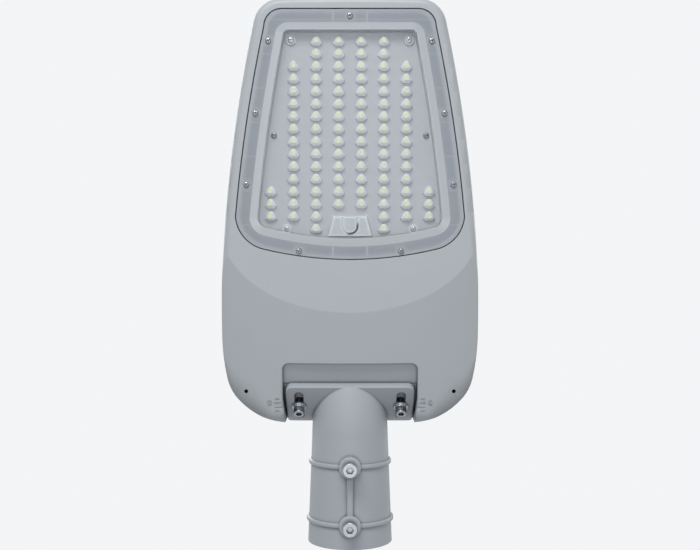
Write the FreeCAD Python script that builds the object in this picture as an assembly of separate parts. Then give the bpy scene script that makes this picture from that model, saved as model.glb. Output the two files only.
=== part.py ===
import FreeCAD, Part
import math
import os

# LED street light head with a tilting pole spigot.  All sizes are in millimetres.
# The origin is the centre of the spigot mouth on the pole axis.
# +Y runs along the head to its nose, +Z is up and the light leaves towards -Z.
# Heights named "level" are measured upwards from the flat underside of the head.

# Overall shape of the head
axis_height = 40.0
nose_y = 494.0
box_level = 76.0
plate_level = 20.0
rim_round = 6.5
wall = 5.0
flat_edge_y = 211.5
rear_oval_margin = 0.4
rear_oval_length = 78.5
rear_rise = 0.15
rear_roll_radius = 14.0
rear_roll_lift = 1.8

# Half outline of the head from the nose to the rear: radius of each arc and its turn in degrees.
# Each arc starts in the direction in which the one before it ends.
head_radii = [1988.0, 25.0, 1349.0, 193.0, 40.0, 70.7]
head_turn_angles = [1.8, 76.2, 12.0, 12.4, 30.0, 47.6]

# Clear cover over the light engine.  Its points are given as the distance from the middle
# and the distance back from the cover's front edge, as are those of all that lies under it.
cover_front_y = 482.0
cover_runs = [
    ((61.0, 0.0),),
    ((71.7, 4.4), (76.2, 15.0)),
    ((92.9, 110.0), (101.4, 185.0)),
    ((95.8, 200.4), (76.0, 213.4)),
    ((39.0, 220.0), (0.0, 222.4)),
]
panel_inset = 18.2
panel_runs = [
    ((55.0, panel_inset),),
    ((58.6, 19.6), (60.2, 23.0)),
    ((72.8, 98.3), (82.6, 184.0)),
    ((81.8, 190.0), (76.5, 194.7)),
    ((39.0, 202.2), (0.0, 204.9)),
]
cover_thickness = 3.0
cover_gap = 1.0
panel_bulge = 3.5
bevel_width = 6.5
seal_thickness = 2.0
seal_width = 9.0
seal_inset = 0.5
cover_screw_spots = [
    (0.0, 5.9),
    (72.9, 28.3),
    (84.2, 92.9),
    (92.2, 156.2),
    (45.5, 215.4),
]
small_screw_radius = 1.5
small_screw_head_radius = 2.7
small_screw_head_height = 2.0
small_screw_length = 14.0
small_screw_tip = 0.5
pan_head_taper = 0.72
socket_head_round = 0.6

# Light engine: heat pad, board, chips and lens plate
engine_inset = 1.5
pad_inset = 1.0
seal_to_chips = 2.6
pad_thickness = 0.5
board_thickness = 1.6
chip_width = 3.5
chip_length = 3.5
chip_height = 0.7
lens_plate_thickness = 2.0
lens_back_gap = 1.1
lens_back_rim = 2.5
lens_height = 4.2
lens_half_x = 5.9
lens_half_y = 4.9
lens_outline = [(0.3, 1.0), (0.72, 0.35), (1.0, -0.5), (0.55, -1.0)]
lens_sections = [(1.0, -0.2), (0.86, 0.55), (0.45, 1.0)]
column_pitch = 20.2
row_pitch = 11.2
first_row_distance = 27.4
inner_columns = (0.5, 1.5)
middle_columns = (0.5, 1.5, 2.5)
all_columns = (0.5, 1.5, 2.5, 3.5)
outer_columns = (1.5, 2.5, 3.5)
last_columns = (1.5,)
inner_rows = 2
middle_rows = 10
full_rows = 2
engine_corner_screws = [(52.8, 26.8), (56.4, 195.5)]
engine_side_screws = [(68.0, 112.0)]
engine_corner_screw_length = 10.0
engine_side_screw_length = 8.0
engine_boss_radius = 4.4
engine_boss_height = 1.6
wire_cover_front = (16.2, 183.1)
wire_cover_back = (21.0, 202.4)
wire_cover_height = 4.6
wire_cover_wall = 1.5
wire_cover_taper = 1.5
wire_cover_round = 1.0
tongue_half_width = 7.2
tongue_end = 200.5
tongue_groove_width = 1.1
tongue_groove_depth = 0.8
wire_hole_distance = 192.0
wire_hole_radius = 3.2
board_hole_clearance = 0.2

# Cooling fins over the light engine
fin_pitch = 11.0
fin_thickness = 3.0
fins_each_side = 8
fin_inset = 8.0
fin_start_y = 307.0
fin_shoulder_y = 328.0
fin_shoulder_level = 54.0
fin_mid_y = 410.0
fin_mid_level = 45.0
fin_nose_level = 26.0
base_level = 15.0

# Driver compartment, lid and what is in it
floor_level = 15.0
room_rear_y = 171.0
room_front_y = 300.0
room_half_width = 104.0
room_corner = 12.0
bulkhead_thickness = 5.0
lid_rear_y = 116.5
lid_front_y = 305.5
lid_inset = 1.2
lid_height = 14.0
lid_round = 9.0
lid_wall = 3.0
lid_rim = 9.0
lid_seal_height = 2.0
lid_seal_width = 3.0
lid_seal_inset = 4.0
lid_groove_clearance = 0.2
lid_screw_spots = [(94.0, 140.0), (84.0, 295.5)]
lid_screw_radius = 2.5
lid_screw_head_radius = 4.5
lid_screw_head_height = 3.5
lid_screw_head_clearance = 0.5
lid_screw_depth = 14.0
underside_hole_spots = [(94.0, 140.0)]
underside_hole_radius = 1.8
underside_hole_level = 32.0
lid_post_radius = 7.0
cheek_floor_level = 36.0
cheek_inner_x = 67.0
cheek_rear_y = 118.0
driver_size = (164.0, 66.0, 36.0)
driver_rear_y = 214.0
driver_ear = 10.0
driver_ear_height = 3.0
driver_ear_half_width = 9.0
driver_corner = 4.0
terminal_size = (40.0, 22.0, 18.0)
terminal_spot = (-58.0, 190.0)
terminal_way_share = 3.3
terminal_well_radius = 3.0
terminal_mouth_half_width = 2.5
terminal_mouth_height = 5.0
surge_size = (46.0, 26.0, 24.0)
surge_spot = (58.0, 190.0)
surge_corner = 3.0
device_ear = 9.0
device_ear_height = 3.0
device_ear_half_width = 6.0
device_screw_radius = 2.0
device_screw_head_radius = 3.8
device_screw_head_height = 2.6
device_screw_depth = 6.0
device_hole_extra = 0.5
lead_radius = 2.6
lead_exit_x = -40.0
lead_rise = 12.0
lead_bend = 7.0
lead_end_gap = 0.4
lead_clearance = 0.1
supply_lead_rise = 9.0
supply_lead_shift = 14.0
supply_lead_bend = 5.0
clamp_y = 192.0
clamp_half_width = 17.0
clamp_depth = 10.0
clamp_bar_height = 13.0
clamp_screw_x = 12.0
clamp_post_level = axis_height - 5.0
cable_radius = 5.0
earth_screw_spot = (26.0, 178.0)
earth_washer_radius = 5.0
earth_washer_thickness = 1.2
breather_x = 30.0
breather_level = 56.0
breather_radius = 6.0
breather_stem_radius = 3.5
breather_cap_height = 4.0
breather_stem_end = 2.0
gland_thread_radius = 10.0
gland_body_across = 24.0
gland_body_length = 7.0
gland_nut_length = 12.0
gland_nut_radius = 12.5
gland_nut_end_radius = 9.0
gland_thread_length = 13.0
locknut_across = 26.0
locknut_thickness = 5.0
grommet_wall = 1.6
grommet_collar = 1.6

# Toothed tilt seat, curved flange and spigot
tilt_y = 182.5
tilt_z = 40.0
seat_radius = 70.5
seat_wall = 6.0
seat_hollow_half_width = 54.0
seat_hollow_rear_y = 124.0
recess_half_width = 61.0
recess_rear_half_width = 59.0
recess_taper_front_y = 132.0
recess_taper_rear_y = 112.0
recess_start_angle = -60.0
recess_end_angle = 77.0
recess_corner = 6.0
tooth_pitch = 2.5
tooth_depth = 1.3
tooth_lip = 0.3
tooth_first_angle = 9.0
tooth_last_angle = 59.0
tooth_inner_x = 37.0
running_gap = 0.3
flange_thickness = 7.2
flange_half_width = 58.4
flange_first_angle = 14.0
flange_last_angle = 60.5
flange_trim_angle = 120.0
flange_corner = 6.0
flange_edge_round = 1.2
bolt_x = 46.5
bolt_angle = 43.0
nose_up_travel = 10.0
nose_down_travel = 15.0
bolt_radius = 3.0
bolt_head_radius = 5.0
bolt_head_height = 6.0
bolt_socket_across = 5.0
bolt_socket_depth = 3.0
bolt_reach = 22.0
slot_clearance = 1.3
saddle_radius = 6.25
saddle_thickness = 1.9
saddle_start = 3.0
spring_radius = 5.4
spring_thickness = 1.6
spring_split = 1.0
bolt_boss_radius = 9.0
entry_half_width = 14.0
entry_angles = (22.0, 48.0)

bore_radius = 31.5
bore_depth = 95.0
mouth_radius = 38.8
root_radius = 35.0
root_y = 98.5
dome_length = 75.0
chamber_radius = 20.0
ring_spots = [21.2, 73.4]
ring_width = 4.5
ring_height = 2.2
ring_edge_round = 1.6
screw_boss_radius = 9.8
screw_boss_reach = 42.5
screw_boss_round = 1.6
spine_width = 6.0
spine_reach = 41.0
spine_round = 2.0
pole_screw_radius = 4.0
pole_screw_head_radius = 6.5
pole_screw_head_height = 8.0
pole_screw_socket_across = 6.0
pole_screw_socket_depth = 4.0
pole_screw_gap = 3.0
pole_screw_tip = 0.8
thread_clearance = 0.05
hole_clearance = 0.3
overlap = 0.5
cut_margin = 5.0

far = 400.0
x_axis = FreeCAD.Vector(1, 0, 0)
y_axis = FreeCAD.Vector(0, 1, 0)
z_axis = FreeCAD.Vector(0, 0, 1)
tilt_centre = FreeCAD.Vector(0, tilt_y, tilt_z)
wire_hole_y = cover_front_y - wire_hole_distance
flange_radius = seat_radius + running_gap
flange_outer_radius = flange_radius + flange_thickness
seal_level = cover_thickness
ledge_level = seal_level + seal_thickness
chip_level = ledge_level + seal_to_chips
board_level = chip_level + chip_height
pad_level = board_level + board_thickness
engine_level = pad_level + pad_thickness
lens_back_level = board_level - lens_back_gap
lens_face_level = lens_back_level - lens_plate_thickness


def height(level):
    """Height in the part's frame of a level above the flat underside."""
    return level - axis_height


def spot(x, y, level):
    return FreeCAD.Vector(x, y, height(level))


def mirrored(shape):
    return shape.mirror(FreeCAD.Vector(0, 0, 0), x_axis)


def behind_front(spots):
    """Spots given by their distance back from the cover's front edge."""
    return [(x, cover_front_y - distance) for x, distance in spots]


def both_sides(spots):
    """Spots given for +X, with their mirror images; a spot on the middle stays single."""
    pairs = []
    for x, y in spots:
        pairs.append((x, y))
        if x > 0:
            pairs.append((-x, y))
    return pairs


def box(x1, x2, y1, y2, low, high):
    return Part.makeBox(x2 - x1, y2 - y1, high - low, spot(x1, y1, low))


def rod(radius, x, y, low, high):
    """Upright cylinder between two levels."""
    return Part.makeCylinder(radius, high - low, spot(x, y, low), z_axis)


def prism(wire, low, high):
    """Solid over a flat outline drawn at level 0, between two levels."""
    flat = Part.Face(wire)
    flat.translate(FreeCAD.Vector(0, 0, low))
    return flat.extrude(FreeCAD.Vector(0, 0, high - low))


def rounded_box(x1, x2, y1, y2, low, high, radius):
    body = box(x1, x2, y1, y2, low, high)
    corners = [e for e in body.Edges if abs(e.BoundBox.ZLength - (high - low)) < 1e-6]
    return body.makeFillet(radius, corners)


def group(shapes):
    return Part.makeCompound(shapes)


def head_outline(distance=0.0):
    """Closed outline of the head, drawn in by a distance all round."""
    edges = []
    x, y, heading = 0.0, nose_y - distance, 0.0
    for full_radius, turn in zip(head_radii, head_turn_angles):
        radius = full_radius - distance
        centre_x = x - radius * math.sin(heading)
        centre_y = y - radius * math.cos(heading)
        points = [spot(x, y, 0)]
        for share in (0.5, 1.0):
            way = heading + math.radians(turn) * share
            x = centre_x + radius * math.sin(way)
            y = centre_y + radius * math.cos(way)
            points.append(spot(x, y, 0))
        heading += math.radians(turn)
        edge = Part.Arc(*points).toShape()
        edges += [edge, mirrored(edge)]
    edges.append(Part.makeLine(spot(x, y, 0), spot(-x, y, 0)))
    return Part.Wire(Part.__sortEdges__(edges))


def run_outline(runs):
    """Closed symmetric outline from straight and arc runs given for +X."""
    edges = []
    last = (0.0, runs[0][0][1])
    for run in runs:
        for side in (1, -1):
            points = [spot(side * x, cover_front_y - distance, 0) for x, distance in (last,) + run]
            if len(run) == 1:
                edges.append(Part.makeLine(*points))
            else:
                edges.append(Part.Arc(*points).toShape())
        last = run[-1]
    return Part.Wire(Part.__sortEdges__(edges))


def inset(wire, distance):
    return wire.makeOffset2D(-distance)


def outset(wire, distance):
    return wire.makeOffset2D(distance)


def sector(x1, x2, r1, r2, first, last):
    """Part of a ring about the tilt axis; angles run from -Y down towards -Z."""
    corners = [
        FreeCAD.Vector(x1, tilt_y - r1, tilt_z),
        FreeCAD.Vector(x2, tilt_y - r1, tilt_z),
        FreeCAD.Vector(x2, tilt_y - r2, tilt_z),
        FreeCAD.Vector(x1, tilt_y - r2, tilt_z),
        FreeCAD.Vector(x1, tilt_y - r1, tilt_z),
    ]
    flat = Part.Face(Part.makePolygon(corners))
    flat.rotate(tilt_centre, x_axis, first)
    return flat.revolve(tilt_centre, x_axis, last - first)


def tilt_direction(angle):
    turn = math.radians(angle)
    return FreeCAD.Vector(0, -math.cos(turn), -math.sin(turn))


def tilt_rod(radius, x, angle, r1, r2):
    """Cylinder that points away from the tilt axis, between two distances from it."""
    way = tilt_direction(angle)
    start = tilt_centre + way * r1 + x_axis * x
    return Part.makeCylinder(radius, r2 - r1, start, way)


def tilt_cylinder(radius, half_width):
    start = tilt_centre - x_axis * half_width
    return Part.makeCylinder(radius, 2 * half_width, start, x_axis)


def radial_edges(solid, r1, r2):
    """Straight edges of a ring part that run away from the tilt axis."""
    found = []
    for edge in solid.Edges:
        if abs(edge.Length - (r2 - r1)) < 1e-3 and edge.Vertexes[0].X == edge.Vertexes[1].X:
            found.append(edge)
    return found


def lens_spots():
    """Places of the light sources, row by row from the nose."""
    rows = [inner_columns] * inner_rows
    rows += [middle_columns] * middle_rows
    rows += [all_columns] * full_rows
    rows += [outer_columns, last_columns]
    spots = []
    for number, columns in enumerate(rows):
        y = cover_front_y - first_row_distance - number * row_pitch
        for column in columns:
            spots.append((column * column_pitch, y))
    return both_sides(spots)


def hex_prism(across, start, way, length):
    """Hexagonal bar from a start point along a direction."""
    reach = across / math.sqrt(3)
    side = x_axis
    other = way.cross(side)
    corners = []
    for number in range(7):
        turn = math.radians(60 * number)
        corners.append(start + side * (reach * math.cos(turn)) + other * (reach * math.sin(turn)))
    return Part.Face(Part.makePolygon(corners)).extrude(way * length)


def outer_rim(round_bar, start, length):
    """Circular edge at the far end of a cylinder that begins at a start point."""
    found = []
    for edge in round_bar.Edges:
        if len(edge.Vertexes) == 1 and (edge.CenterOfMass - start).Length > length - 0.1:
            found.append(edge)
    return found


def socket_screw(start, way, radius, reach, head_radius, head_height, across, depth):
    """Socket head screw; start is the underside of the head, way points out of the head."""
    shank = Part.makeCylinder(radius, reach, start - way * reach, way)
    head = Part.makeCylinder(head_radius, head_height, start, way)
    head = head.makeFillet(socket_head_round, outer_rim(head, start, head_height))
    drive = hex_prism(across, start + way * (head_height - depth), way, depth + 1)
    return shank.fuse(head).cut(drive)


def pan_screw(x, y, seat, radius, head_radius, head_height, reach, way=-1):
    """Pan head screw; way -1 puts the head below its seat, +1 above it."""
    start = spot(x, y, seat)
    out = z_axis * way
    shank = Part.makeCylinder(radius, reach, start - out * reach, out)
    head = Part.makeCone(head_radius, head_radius * pan_head_taper, head_height, start, out)
    return shank.fuse(head)


def swept_lead(points, radius, bend):
    """Round lead with straight runs and bends that meet them smoothly."""
    edges = []
    last = points[0]
    for before, corner, after in zip(points, points[1:], points[2:]):
        way_in = (corner - before).normalize()
        way_out = (after - corner).normalize()
        half = way_in.getAngle(way_out) / 2
        cut = bend * math.tan(half)
        first = corner - way_in * cut
        second = corner + way_out * cut
        inward = (way_out - way_in).normalize()
        middle = corner + inward * (bend / math.cos(half) - bend)
        edges.append(Part.makeLine(last, first))
        edges.append(Part.Arc(first, middle, second).toShape())
        last = second
    edges.append(Part.makeLine(last, points[-1]))
    path = Part.Wire(edges)
    profile = Part.Wire(Part.makeCircle(radius, points[0], points[1] - points[0]))
    return path.makePipeShell([profile], True, False)


def outer_body():
    """Outside form of the casting before it is hollowed."""
    outline = head_outline()
    slab = prism(outline, 0, box_level)
    lower = [e for e in slab.Edges if e.BoundBox.ZMax < height(0) + 0.01]
    slab = slab.makeFillet(rim_round, lower)
    profile = [
        spot(-far, lid_rear_y - far, 0 - far),
        spot(-far, lid_rear_y - far, box_level),
        spot(-far, fin_start_y, box_level),
        spot(-far, fin_shoulder_y, fin_shoulder_level),
        spot(-far, fin_mid_y, fin_mid_level),
        spot(-far, nose_y + 1, fin_nose_level),
        spot(-far, nose_y + 1, 0 - far),
        spot(-far, lid_rear_y - far, 0 - far),
    ]
    edges = [Part.makeLine(a, b) for a, b in zip(profile[:3], profile[1:4])]
    edges.append(Part.Arc(profile[3], profile[4], profile[5]).toShape())
    edges += [Part.makeLine(a, b) for a, b in zip(profile[5:7], profile[6:8])]
    side_view = Part.Face(Part.Wire(edges)).extrude(x_axis * (2 * far))
    return slab.common(side_view).common(rear_sweep()).cut(rear_roll())


def rear_sweep():
    """Oval bar that rises to the rear and gives the curved rear underside."""
    depth = rear_oval_length * rear_rise
    centre = spot(0, flat_edge_y, depth)
    half_width = head_outline().BoundBox.XMax + rear_oval_margin
    oval = Part.Ellipse(centre, half_width, depth)
    rim = oval.toShape()
    rim.rotate(centre, x_axis, 90)
    low = Part.Face(Part.Wire(rim))
    way = FreeCAD.Vector(0, -1, rear_rise)
    bar = low.extrude(way * far)
    bar_front = low.extrude(way * -far)
    bar = bar.fuse(bar_front)
    corners = [
        FreeCAD.Vector(-far, flat_edge_y - far, height(depth) + far * rear_rise),
        FreeCAD.Vector(-far, flat_edge_y + far, height(depth) - far * rear_rise),
        FreeCAD.Vector(-far, flat_edge_y + far, height(far)),
        FreeCAD.Vector(-far, flat_edge_y - far, height(far)),
        FreeCAD.Vector(-far, flat_edge_y - far, height(depth) + far * rear_rise),
    ]
    upper = Part.Face(Part.makePolygon(corners)).extrude(x_axis * (2 * far))
    return bar.fuse(upper)


def rear_roll():
    """What the rolled lower rear edge leaves off between the rising underside and the rear."""
    rear_y = head_outline().BoundBox.YMin
    slope = math.atan(rear_rise)
    centre_y = rear_y + rear_roll_radius
    low = rear_rise * (flat_edge_y - centre_y) + rear_roll_lift
    centre_level = low + rear_roll_radius / math.cos(slope)
    edge = box(-far, far, rear_y - 1, centre_y + rear_roll_radius * math.sin(slope), -far, centre_level)
    roll = Part.makeCylinder(rear_roll_radius, 2 * far, spot(-far, centre_y, centre_level), x_axis)
    return edge.cut(roll)


def fin_spaces():
    """Air between the fins and the step down to the rim around them."""
    outline = head_outline(fin_inset)
    front = box(-far, far, fin_start_y, nose_y + far, base_level, far)
    space = prism(outline, base_level, box_level + 1).common(front)
    fins = []
    for number in range(-fins_each_side, fins_each_side + 1):
        middle = number * fin_pitch
        low, high = middle - fin_thickness / 2, middle + fin_thickness / 2
        fins.append(box(low, high, fin_start_y - 1, nose_y, 0, far))
    space = space.cut(group(fins))
    around = box(-far, far, fin_start_y, nose_y + far, plate_level, far)
    around = around.cut(prism(outline, 0, far))
    return space, around


def room_spaces():
    """Driver room, seat hollow and cheek pockets, all open to the lid."""
    inner = prism(head_outline(wall + lid_seal_inset), 0, far)
    room = rounded_box(-room_half_width, room_half_width, room_rear_y, room_front_y,
                       floor_level, far, room_corner).common(inner)
    hollow = tilt_cylinder(seat_radius - seat_wall, seat_hollow_half_width)
    rear = room_rear_y - bulkhead_thickness
    hollow = hollow.fuse(box(-seat_hollow_half_width, seat_hollow_half_width,
                             seat_hollow_rear_y, rear, axis_height + tilt_z, far))
    hollow = hollow.common(box(-far, far, seat_hollow_rear_y, rear, 0, far))
    cheek = box(cheek_inner_x, far, cheek_rear_y, rear, cheek_floor_level, far).common(inner)
    return [room, hollow, cheek, mirrored(cheek)]


def housing():
    """Die-cast body with fins, driver room, cover ledge and toothed tilt seat."""
    body = outer_body()
    space, around = fin_spaces()
    body = body.cut(group([space, around]))
    body = body.cut(group(room_spaces()))
    adds = []
    for side in (1, -1):
        adds.append(tilt_rod(bolt_boss_radius, side * bolt_x, bolt_angle,
                             seat_radius - bolt_reach, seat_radius - seat_wall / 2))
    for x, y in both_sides(lid_screw_spots):
        adds.append(rod(lid_post_radius, x, y, cheek_floor_level - 1, box_level))
    adds.append(box(-clamp_half_width, clamp_half_width, clamp_y - clamp_depth / 2,
                    clamp_y + clamp_depth / 2, floor_level - 1, clamp_post_level))
    body = body.fuse(adds)
    cuts = [recess(), cover_space(), engine_space(), seal_groove()]
    cuts.append(sector(-entry_half_width, entry_half_width, seat_radius - 2 * seat_wall,
                       seat_radius + 1, *entry_angles))
    cuts.append(rod(wire_hole_radius + grommet_wall, 0, wire_hole_y, 0, far / 4))
    cuts.append(Part.makeCylinder(gland_thread_radius, 3 * bulkhead_thickness,
                                  FreeCAD.Vector(0, room_rear_y - 2 * bulkhead_thickness, 0), y_axis))
    cuts.append(Part.makeCylinder(breather_stem_radius, 3 * bulkhead_thickness,
                                  spot(breather_x, room_rear_y - 2 * bulkhead_thickness,
                                       breather_level), y_axis))
    for side in (1, -1):
        cuts.append(tilt_rod(bolt_radius + thread_clearance, side * bolt_x, bolt_angle,
                             seat_radius - bolt_reach - 1, seat_radius + cut_margin))
    for x, y in both_sides(lid_screw_spots):
        cuts.append(rod(lid_screw_radius + thread_clearance, x, y,
                        box_level - lid_screw_depth - 1, box_level + 1))
    for x, y in both_sides(underside_hole_spots):
        cuts.append(rod(underside_hole_radius, x, y, 0, underside_hole_level))
    small = small_screw_radius + thread_clearance
    for x, y in both_sides(behind_front(cover_screw_spots)):
        cuts.append(rod(small, x, y, 0, small_screw_length))
    for x, y in both_sides(behind_front(engine_corner_screws + engine_side_screws)):
        cuts.append(rod(small, x, y, 0, small_screw_length))
    for x, y, level in device_screw_spots():
        cuts.append(rod(device_screw_radius + thread_clearance, x, y,
                        level - device_screw_depth - device_hole_extra, level))
    return body.cut(group(cuts)).cut(group(seat_teeth()))


def recess():
    """Space outside the seat in which the flange swings."""
    r1, r2 = seat_radius, 2 * seat_radius
    space = sector(-recess_half_width, recess_half_width, r1, r2, recess_start_angle, recess_end_angle)
    front = []
    for edge in radial_edges(space, r1, r2):
        middle = edge.CenterOfMass - tilt_centre
        if middle.z < 0 and abs(middle.y) < seat_radius:
            front.append(edge)
    space = space.makeFillet(recess_corner, front)
    side = [
        spot(recess_half_width, far, 0),
        spot(recess_half_width, recess_taper_front_y, 0),
        spot(recess_rear_half_width, recess_taper_rear_y, 0),
        spot(recess_rear_half_width, -far, 0),
    ]
    other = [FreeCAD.Vector(-point.x, point.y, point.z) for point in reversed(side)]
    plan = Part.makePolygon(side + other + side[:1])
    return space.common(prism(plan, -far, far))


def seat_teeth():
    """V grooves along the seat, one band under each slot of the flange."""
    half = math.radians(tooth_pitch / 2) * seat_radius
    cutters = []
    angle = tooth_first_angle
    while angle <= tooth_last_angle:
        for x1, x2 in ((tooth_inner_x, recess_half_width), (-recess_half_width, -tooth_inner_x)):
            corners = [
                FreeCAD.Vector(x1, tilt_y - seat_radius - tooth_lip, tilt_z - half),
                FreeCAD.Vector(x1, tilt_y - seat_radius - tooth_lip, tilt_z + half),
                FreeCAD.Vector(x1, tilt_y - seat_radius + tooth_depth, tilt_z),
                FreeCAD.Vector(x1, tilt_y - seat_radius - tooth_lip, tilt_z - half),
            ]
            cutter = Part.Face(Part.makePolygon(corners)).extrude(x_axis * (x2 - x1))
            cutter.rotate(tilt_centre, x_axis, angle)
            cutters.append(cutter)
        angle += tooth_pitch
    return cutters


def cover_space():
    outline = outset(run_outline(cover_runs), cover_gap)
    return prism(outline, -1, ledge_level)


def engine_space():
    """Pocket for the lens plate, board and pad inside the cover ledge."""
    outline = outset(run_outline(panel_runs), 1.0)
    return prism(outline, 0, engine_level)


def lid_prism(distance, low, high):
    """Lid area drawn in from the head's own outline, as a solid between two levels."""
    drawn_in = distance - lid_inset
    strip = box(-far, far, lid_rear_y + drawn_in, lid_front_y - drawn_in, low, high)
    return prism(head_outline(distance), low, high).common(strip)


def seal_groove():
    outer = lid_prism(lid_seal_inset - lid_groove_clearance, box_level - lid_seal_height, box_level + 1)
    inner = lid_prism(lid_seal_inset + lid_seal_width + lid_groove_clearance,
                      box_level - far / 10, box_level + 2)
    return outer.cut(inner)


def driver_cover_seal():
    outer = lid_prism(lid_seal_inset, box_level - lid_seal_height, box_level)
    inner = lid_prism(lid_seal_inset + lid_seal_width, 0, box_level + 2)
    return outer.cut(inner)


def driver_cover():
    """Cast lid over the driver room."""
    top = box_level + lid_height
    lid = lid_prism(lid_inset, box_level, top)
    upper = [e for e in lid.Edges if e.BoundBox.ZMin > height(top) - 0.01]
    lid = lid.makeFillet(lid_round, upper)
    inside = lid_prism(lid_inset + lid_rim, box_level - 1, top - lid_wall)
    lid = lid.cut(inside)
    posts = []
    for x, y in both_sides(lid_screw_spots):
        posts.append(rod(lid_post_radius, x, y, box_level, top - lid_wall + overlap))
    lid = lid.fuse(posts)
    holes = []
    for x, y in both_sides(lid_screw_spots):
        holes.append(rod(lid_screw_radius + hole_clearance, x, y, box_level - 1, top + 1))
        holes.append(rod(lid_screw_head_radius + lid_screw_head_clearance, x, y,
                         top - lid_screw_head_height - 1, top + 1))
    return lid.cut(group(holes))


def driver_cover_screws():
    seat = box_level + lid_height - lid_screw_head_height - 1
    screws = []
    for x, y in both_sides(lid_screw_spots):
        screws.append(pan_screw(x, y, seat, lid_screw_radius, lid_screw_head_radius,
                                lid_screw_head_height, seat - box_level + lid_screw_depth, 1))
    return group(screws)


def window_cover():
    """Clear moulded cover: flat frame with a raised middle panel."""
    outline = run_outline(cover_runs)
    plate = prism(outline, 0, cover_thickness)
    panel = run_outline(panel_runs)
    foot = outset(panel, bevel_width)
    raised = bevel_solid(foot, panel, 0.0)
    hollow = bevel_solid(foot, panel, cover_thickness)
    plate = plate.fuse(raised).cut(hollow)
    holes = []
    for x, y in both_sides(behind_front(cover_screw_spots)):
        holes.append(rod(small_screw_radius + hole_clearance, x, y, -1, 2 * cover_thickness))
    return plate.cut(group(holes))


def bevel_solid(foot, panel, rise):
    low = panel.copy()
    low.translate(FreeCAD.Vector(0, 0, rise - panel_bulge))
    high = foot.copy()
    high.translate(FreeCAD.Vector(0, 0, rise))
    return Part.makeLoft([low, high], True, True)


def window_seal():
    outline = run_outline(cover_runs)
    outer = prism(inset(outline, seal_inset), seal_level, ledge_level)
    inner = prism(inset(outline, seal_inset + seal_width), 0, ledge_level + 1)
    ring = outer.cut(inner)
    holes = []
    for x, y in both_sides(behind_front(cover_screw_spots)):
        holes.append(rod(small_screw_radius + 1, x, y, 0, 2 * ledge_level))
    return ring.cut(group(holes))


def cover_screws():
    screws = []
    for x, y in both_sides(behind_front(cover_screw_spots)):
        screws.append(pan_screw(x, y, 0, small_screw_radius, small_screw_head_radius,
                                small_screw_head_height, small_screw_length - small_screw_tip))
    return group(screws)


def engine_outline(extra=0.0):
    return inset(run_outline(panel_runs), engine_inset + extra)


def engine_holes(radius):
    holes = []
    for x, y in both_sides(behind_front(engine_corner_screws + engine_side_screws)):
        holes.append(rod(radius, x, y, -1, 2 * engine_level))
    return holes


def heat_pad():
    pad = prism(engine_outline(pad_inset), pad_level, engine_level)
    holes = engine_holes(small_screw_radius + 1)
    holes.append(rod(wire_hole_radius + 2, 0, wire_hole_y, 0, 2 * engine_level))
    return pad.cut(group(holes))


def led_board():
    board = prism(engine_outline(), board_level, pad_level)
    holes = engine_holes(small_screw_radius + hole_clearance)
    holes.append(rod(wire_hole_radius + board_hole_clearance, 0, wire_hole_y, 0, 2 * engine_level))
    return board.cut(group(holes))


def led_chips():
    chips = []
    for x, y in lens_spots():
        chips.append(box(x - chip_width / 2, x + chip_width / 2, y - chip_length / 2,
                         y + chip_length / 2, chip_level, board_level))
    return group(chips)


def lens_form(x, y):
    """One lens: a faceted bell that is narrow towards the nose."""
    half = [(share_x * lens_half_x, share_y * lens_half_y) for share_x, share_y in lens_outline]
    closed = half + [(-across, along) for across, along in reversed(half)] + half[:1]
    rings = []
    for size, drop in lens_sections:
        level = lens_face_level - lens_height * drop
        corners = [spot(x + size * across, y + size * along, level) for across, along in closed]
        rings.append(Part.makePolygon(corners))
    return Part.makeLoft(rings, True, True)


def wire_cover(grow, reach):
    """Tapered block over the place where the lead reaches the board."""
    (front_x, front_y), (back_x, back_y) = behind_front([wire_cover_front, wire_cover_back])
    rings = []
    for size, level in ((0.0, lens_back_level), (-wire_cover_taper, lens_face_level - reach)):
        corners = [
            spot(front_x + grow + size, front_y + grow + size, level),
            spot(-front_x - grow - size, front_y + grow + size, level),
            spot(-back_x - grow - size, back_y, level),
            spot(back_x + grow + size, back_y, level),
            spot(front_x + grow + size, front_y + grow + size, level),
        ]
        rings.append(Part.makePolygon(corners))
    return Part.makeLoft(rings, True, True)


def lens_plate():
    """Moulded plate with one lens over each chip and the lead's cover."""
    outline = engine_outline()
    plate = prism(outline, lens_face_level, board_level)
    back = prism(inset(outline, lens_back_rim), lens_back_level, board_level + 1)
    posts = [rod(engine_boss_radius, x, y, lens_face_level, board_level)
             for x, y in both_sides(behind_front(engine_corner_screws + engine_side_screws))]
    plate = plate.cut(back.cut(group(posts)))
    adds = [lens_form(x, y) for x, y in lens_spots()]
    for x, y in both_sides(behind_front(engine_corner_screws)):
        adds.append(rod(engine_boss_radius, x, y, lens_face_level - engine_boss_height,
                        lens_face_level + overlap))
    top = lens_face_level - wire_cover_height
    hood = wire_cover(0.0, wire_cover_height)
    upper = [e for e in hood.Edges if e.BoundBox.ZMin < height(top) + 0.01]
    upper += [e for e in hood.Edges if e.BoundBox.ZLength > wire_cover_height - 0.1]
    adds.append(hood.makeFillet(wire_cover_round, upper).cut(tongue_groove(top)))
    plate = plate.fuse(adds)
    room = wire_cover(-wire_cover_wall, wire_cover_height - wire_cover_wall - tongue_groove_depth)
    holes = engine_holes(small_screw_radius + hole_clearance)
    return plate.cut(room.fuse(holes))


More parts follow.
